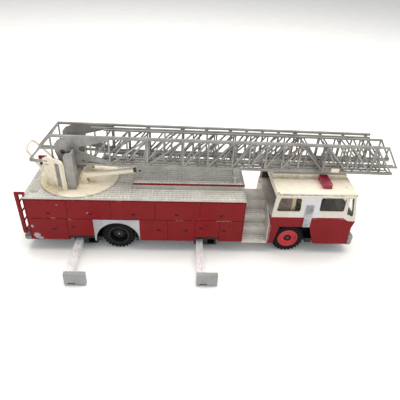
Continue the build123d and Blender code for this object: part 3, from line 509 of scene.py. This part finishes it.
def tread(name, x0, x1, y0, y1, z):
    """Raised lozenges, leaning one way and the other in turn, over a flat rectangle."""
    half = (LOZENGE_LONG / 2, LOZENGE_WIDE / 2)
    lozenge = slab(name, (-half[0], -half[1], -LOZENGE_SUNK), (half[0], half[1], LOZENGE_HIGH))
    bpy.ops.object.mode_set(mode="EDIT")
    bpy.ops.mesh.select_all(action="DESELECT")
    bpy.ops.object.mode_set(mode="OBJECT")
    for face in lozenge.data.polygons:
        face.select = face.normal.z > 0.9
    bpy.ops.object.mode_set(mode="EDIT")
    bpy.ops.transform.resize(value=LOZENGE_TOP, center_override=(0, 0, 0))
    bpy.ops.mesh.select_all(action="SELECT")
    bpy.ops.object.mode_set(mode="OBJECT")
    columns = int((x1 - x0 - TREAD_SPARE) / TREAD_PITCH) + 1
    rows = int((y1 - y0 - TREAD_SPARE) / TREAD_PITCH) + 1
    pieces = []
    for lean, nudge in ((LOZENGE_LEAN, 0.0), (-LOZENGE_LEAN, TREAD_PITCH / 2)):
        first = x0 + TREAD_INSET[0] + nudge
        last = first + (columns - 1) * TREAD_PITCH
        start = Matrix.Translation((first * MM, (y0 + TREAD_INSET[1]) * MM, z * MM))
        pieces.append(copy_moved(lozenge, start @ Matrix.Rotation(math.radians(lean), 4, "Z")))
        wide = columns - (1 if last > x1 - TREAD_END else 0)
        for count, offset in ((wide, (TREAD_PITCH * MM, 0, 0)), (rows, (0, TREAD_PITCH * MM, 0))):
            array = pieces[-1].modifiers.new("row", "ARRAY")
            array.count = max(count, 1)
            array.use_relative_offset = False
            array.use_constant_offset = True
            array.constant_offset_displace = offset
        bpy.ops.object.select_all(action="DESELECT")
        pieces[-1].select_set(True)
        bpy.context.view_layer.objects.active = pieces[-1]
        bpy.ops.object.convert(target="MESH")
    bpy.data.objects.remove(lozenge)
    return join(name, pieces)


# the stairs' treads on the right side, each from one Y to another at its height
STEPS = ((-24.4, -18.6, 9.5), (-18.2, -13.8, 16.0), (-13.4, -7.5, 22.7))
STEP_LONG = 15.8


def make_treads():
    """Cast tread pattern of the deck, its raised middle, the stairs and the strips on the cab."""
    (x0, y0, _), (x1, y1, deck) = box_mm("deck_plate")
    (step, low, _), (_, high, top) = box_mm("raised_deck")
    fields = [tread("deck_tread_rear", x0 + 0.6, step - 0.6, y0 + 0.6, y1 - 0.4, deck)]
    fields += [tread("deck_tread_right", step - 0.2, x1 - 0.4, y0 + 0.6, low - 0.7, deck)]
    fields += [tread("deck_tread_left", step - 0.2, x1 - 0.4, high + 1.0, y1 - 0.4, deck)]
    fields += [tread("raised_tread", step + 0.6, x1 - 0.4, low + 0.5, high - 0.3, top)]
    dress(join("deck_tread_pattern", fields), RUBBED, "chassis", 20)
    steps = []
    x0 = box_mm("stair_unit")[0][0]
    for y0, y1, z in STEPS:
        steps.append(tread("step_tread", x0 + 0.3, x0 + STEP_LONG, y0, y1, z))
        steps.append(tread("step_tread", x0 + 0.3, x0 + STEP_LONG, -y1, -y0, z))
    dress(join("stair_tread_pattern", steps), RUBBED, "chassis", 20)
    (x0, _, z0), (x1, y1, z1) = box_mm("cab_side_strips")
    middle = (z0 + z1) / 2
    strips = []
    for side in (-1, 1):
        strip = tread("strip_tread", x0 + 0.3, x1 - 0.1, z0 + 0.4 - middle, z1 - 0.2 - middle, 0.0)
        strip.data.transform(Matrix.Rotation(math.radians(-90 * side), 4, "X"))
        strip.data.transform(Matrix.Translation((0, side * y1 * MM, middle * MM)))
        strips.append(strip)
    dress(join("strip_tread_pattern", strips), STRIP, "chassis", 20)


def ring(name, x, y0, y1, z, inner, outer, bevel_mm=0.6, steps=72):
    """A closed ring about Y between two radii, its corners rounded, made by turning a profile."""
    bpy.ops.object.select_all(action="DESELECT")
    middle = (x * MM, (y0 + y1) / 2 * MM, (z + (inner + outer) / 2) * MM)
    bpy.ops.mesh.primitive_plane_add(size=1.0, location=middle, rotation=(0, math.radians(90), 0))
    bpy.context.object.scale = ((outer - inner) * MM, (y1 - y0) * MM, 1)
    piece = start_piece(name)
    bpy.ops.object.mode_set(mode="EDIT")
    bpy.ops.mesh.select_all(action="SELECT")
    if bevel_mm:
        bpy.ops.mesh.bevel(offset=bevel_mm * MM, segments=4, affect="VERTICES")
    bpy.ops.mesh.select_all(action="SELECT")
    bpy.ops.mesh.delete(type="ONLY_FACE")
    bpy.ops.mesh.select_all(action="SELECT")
    bpy.ops.mesh.spin(steps=steps, angle=math.radians(360), center=(x * MM, 0, z * MM), axis=(0, 1, 0))
    bpy.ops.mesh.select_all(action="SELECT")
    bpy.ops.mesh.remove_doubles(threshold=0.01 * MM)
    bpy.ops.object.mode_set(mode="OBJECT")
    return piece


# tyres, in millimetres
FRONT_TYRE = 7.4              # widths
REAR_TYRE = 5.8
TWIN_GAP = 0.7
LUGS = 26                     # in each of a tyre's two rows
LUG_HALF = 0.72               # half a lug's length along the tread
LUG_ROOT = 1.1                # from its top down into the carcass
LUG_INSET = 0.55              # from the wall to the row's outer end
LUG_LAP = 0.25                # past the tread's middle
CARCASS_DROP = 0.75           # from the lugs' tops to the carcass
WALL_BEAD = 0.5               # thickness of the rings moulded on each wall


def tyre(name, x, y0, y1, z, inner, outer):
    """A tyre with two staggered rows of chunky tread lugs and moulded rings on its walls."""
    middle = (y0 + y1) / 2
    pieces = [ring(name, x, y0 + 0.15, y1 - 0.15, z, inner, outer - CARCASS_DROP, 1.1)]
    for low, high in ((y0, y0 + WALL_BEAD), (y1 - WALL_BEAD, y1)):
        pieces.append(ring(name, x, low, high, z, inner + 0.15, inner + 0.75, 0.15))
        pieces.append(ring(name, x, low + 0.08, high - 0.08, z, outer - 2.1, outer - 1.8, 0.1))
    rows = ((y0 + LUG_INSET, middle + LUG_LAP, 0.0), (middle - LUG_LAP, y1 - LUG_INSET, 0.5))
    for low, high, phase in rows:
        foot = (x - LUG_HALF, low, z + outer - LUG_ROOT)
        lug = slab("lug", foot, (x + LUG_HALF, high, z + outer), 0.12, 1)
        for i in range(LUGS):
            pieces.append(copy_moved(lug, about((x, 0, z), (i + phase) * 360 / LUGS, "Y")))
        bpy.data.objects.remove(lug)
    return join(name, pieces)


def make_tyres():
    """Front tyres stand alone and rear tyres in pairs, all with the same tread."""
    rim = (box_mm("front_rims")[1][0] - box_mm("front_rims")[0][0]) / 2
    hub = centre_mm("front_tyres")
    wide = box_mm("front_tyres")[1][1]
    starts = (-wide, wide - FRONT_TYRE)
    front = [tyre("tyre", hub.x, y, y + FRONT_TYRE, hub.z, rim, hub.z) for y in starts]
    piece = dress(join("front_tyres_treaded", front), RUBBER, "front_wheels")
    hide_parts("front_tyres")
    hub = centre_mm("rear_tyres")
    wide = box_mm("rear_tyres")[1][1]
    starts = (-wide, -wide + REAR_TYRE + TWIN_GAP, wide - 2 * REAR_TYRE - TWIN_GAP, wide - REAR_TYRE)
    rear = [tyre("tyre", hub.x, y, y + REAR_TYRE, hub.z, rim, hub.z) for y in starts]
    piece = dress(join("rear_tyres_treaded", rear), RUBBER, "rear_wheels")
    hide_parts("rear_tyres")


# the console's outer face: its line in plan, and its middle from the turntable's centre
FACE_LINE = (14.1, -7.7)
FACE_FROM_CENTRE = -11.25
FACE_Y = -15.65
KEYS = 6
KEY_PITCH = 2.4
DIALS = ((-5.6, 16.9, 0.55), (-4.2, 17.0, 0.55), (-5.4, 14.7, 0.4), (-4.3, 14.6, 0.4), (-3.3, 14.8, 0.4))


def make_console_face():
    """Grey strip in the console's recess as painted shade of its inner wall, with keys on it, and the row of
    small dials at the top of the console.
    """
    across = Vector((FACE_LINE[0], FACE_LINE[1], 0)).normalized()
    out = Vector((FACE_LINE[1], -FACE_LINE[0], 0)).normalized()
    top = box_mm("turntable_disc")[1][2]
    spot = Vector((centre_mm("turntable_disc").x + FACE_FROM_CENTRE, FACE_Y, top))
    turn = Matrix((across, out, Vector((0, 0, 1)))).transposed().to_4x4()
    stand = Matrix.Translation(spot * MM) @ turn
    keys = [slab("strip", (2.0, -0.6, 1.4), (5.2, -0.36, 17.4), 0.08, 1)]
    for i in range(KEYS):
        foot = 3.0 + KEY_PITCH * i
        keys.append(slab("key", (2.7, -0.5, foot), (4.5, -0.2, foot + 1.2), 0.1, 1))
    strip = join("console_shade_strip", keys)
    strip.data.transform(stand)
    dress(strip, CONSOLE_SHADE_GREY, "turntable")
    dials = []
    for x, z, half in DIALS:
        tall = half * 0.6
        dials.append(slab("dial", (x - half, -0.1, z - tall), (x + half, 0.12, z + tall), 0.06, 1))
    dials = join("console_dials", dials)
    dials.data.transform(stand)
    dress(dials, BLACK, "turntable")


def outward(side, near, far):
    """Lower and upper Y between two distances from the middle, on one side of it."""
    return sorted((side * near, side * far))


AXLE_END_HALF = 0.35          # millimetres
NUTS = 8
NUT_HALF = 0.4


def make_hub_details():
    """Raised rings and the bright axle end on each rear wheel's sunk centre, and nuts round each front
    wheel's hub.
    """
    hub = centre_mm("rear_rims")
    rings = []
    dots = []
    for side in (-1, 1):
        low, high = outward(side, 19.9, 20.3)
        rings.append(ring("hub_ring", hub.x, low, high, hub.z, 2.4, 3.0, 0.12, 48))
        low, high = outward(side, 17.3, 17.9)
        rings.append(ring("hub_ring", hub.x, low, high, hub.z, 4.3, 4.8, 0.12, 48))
        low, high = outward(side, 19.9, 20.5)
        foot = (hub.x - AXLE_END_HALF, low, hub.z - AXLE_END_HALF)
        dots.append(slab("axle_end", foot, (hub.x + AXLE_END_HALF, high, hub.z + AXLE_END_HALF), 0.15))
    dress(join("rear_hub_rings", rings), RUBBER, "rear_wheels")
    dress(join("rear_axle_ends", dots), LAMP, "rear_wheels")
    hub = centre_mm("front_rims")
    nuts = []
    for side in (-1, 1):
        low, high = outward(side, 22.0, 22.65)
        foot = (hub.x - NUT_HALF, low, hub.z + 3.6)
        nut = slab("nut", foot, (hub.x + NUT_HALF, high, hub.z + 4.3), 0.18)
        turns = [about((hub.x, 0, hub.z), 360 / NUTS * i, "Y") for i in range(NUTS)]
        nuts += [copy_moved(nut, turn) for turn in turns]
        bpy.data.objects.remove(nut)
    dress(join("front_wheel_nuts", nuts), RIM, "front_wheels")


LADDER_SLOPE = -0.7           # degrees at rest
TRUSS_FACE = 10.1             # millimetres from the ladder's middle
RIVET_HALF = 0.42
# along the ladder and up from the heel pin, in millimetres
RIVETS = ((6.0, 7.2), (12.0, 8.2), (18.0, 8.6), (14.0, -5.6), (22.0, -7.0), (55.0, -9.6), (62.0, -9.1))


def make_ladder_rivets():
    """Rivet heads where the lift lugs and heel plates are fixed to the ladder."""
    heads = []
    pivot = centre_mm("heel_pin")
    slope = math.radians(LADDER_SLOPE)
    along = Vector((math.cos(slope), 0, math.sin(slope)))
    up = Vector((-math.sin(slope), 0, math.cos(slope)))
    for side in (-1, 1):
        for x, z in RIVETS:
            spot = pivot + Vector((0, side * TRUSS_FACE, 0)) + along * x + up * z
            low, high = sorted((spot.y - side * 0.1, spot.y + side * 0.3))
            foot = (spot.x - RIVET_HALF, low, spot.z - RIVET_HALF)
            heads.append(slab("rivet", foot, (spot.x + RIVET_HALF, high, spot.z + RIVET_HALF), 0.2, 2))
    dress(join("ladder_rivets", heads), LADDER, "ladder_base")


make_treads()
make_tyres()
make_console_face()
make_hub_details()
make_ladder_rivets()


# ---- camera, light and floor ----
EYE = (-0.0188, -0.2211, 0.1736)
YAW = 3.30                    # degrees to the right of straight across the toy
PITCH = 33.95                 # down
ROLL = 2.84
LENS = 35.06                  # on a sensor 36 mm wide


def make_camera():
    """A 35 mm lens above and just behind the middle of the right side, rolled a little."""
    yaw, pitch, roll = math.radians(YAW), math.radians(PITCH), math.radians(ROLL)
    forward = Vector((math.sin(yaw) * math.cos(pitch), math.cos(yaw) * math.cos(pitch), -math.sin(pitch)))
    level = Vector((math.cos(yaw), -math.sin(yaw), 0))
    upright = level.cross(forward)
    right = level * math.cos(roll) + upright * math.sin(roll)
    up = upright * math.cos(roll) - level * math.sin(roll)
    camera = bpy.data.objects.new("camera", bpy.data.cameras.new("camera"))
    camera.data.sensor_width = 36.0
    camera.data.lens = LENS
    camera.data.clip_start = 0.01
    turn = Matrix((right, up, -forward)).transposed().to_4x4()
    camera.matrix_world = Matrix.Translation(EYE) @ turn
    bpy.context.collection.objects.link(camera)
    bpy.context.scene.camera = camera


def soft_light(name, spot, aim, size, power, colour):
    """A large panel of light at a spot in metres, turned to its aim."""
    lamp = bpy.data.objects.new(name, bpy.data.lights.new(name, "AREA"))
    lamp.data.shape = "RECTANGLE"
    lamp.data.size, lamp.data.size_y = size
    lamp.data.energy = power
    lamp.data.color = paint(colour)[:3]
    lamp.location = spot
    lamp.rotation_euler = (Vector(aim) - Vector(spot)).to_track_quat("-Z", "Y").to_euler()
    bpy.context.collection.objects.link(lamp)


def make_studio():
    """Three soft panels, a pale surround and a plain floor just under the wheels."""
    soft_light("ceiling", (0.05, 0.15, 0.9), (0, 0, 0), (1.0, 0.8), 10.5, "#fffaf2")
    soft_light("front_fill", (-0.3, -0.9, 0.45), (0, 0, 0.03), (0.9, 0.6), 2.6, "#f4f7ff")
    soft_light("side_fill", (0.9, -0.3, 0.5), (0, 0, 0.03), (0.5, 0.5), 1.2, "#ffffff")
    world = bpy.data.worlds.new("studio")
    world.use_nodes = True
    surround = world.node_tree.nodes["Background"]
    surround.inputs["Color"].default_value = paint("#f7f8fa")
    surround.inputs["Strength"].default_value = 0.62
    bpy.context.scene.world = world
    bpy.context.scene.view_settings.view_transform = "Standard"

    bpy.ops.object.select_all(action="DESELECT")
    bpy.ops.mesh.primitive_plane_add(size=6.0, location=(0, 0, -0.0002))
    floor = bpy.context.object
    floor.name = "studio_floor"
    # matt paper: white, with broad clouds only just darker
    cover, tree, shader, place = finish("matt_paper", "#f6f6f4", 0.9)
    clouds = laid(tree, "#f8f8f6", "#f2f2f0", blotches(tree, place, 40, 0.3, 0.7))
    tree.links.new(clouds, shader.inputs["Base Color"])
    floor.data.materials.append(cover)


make_camera()
make_studio()
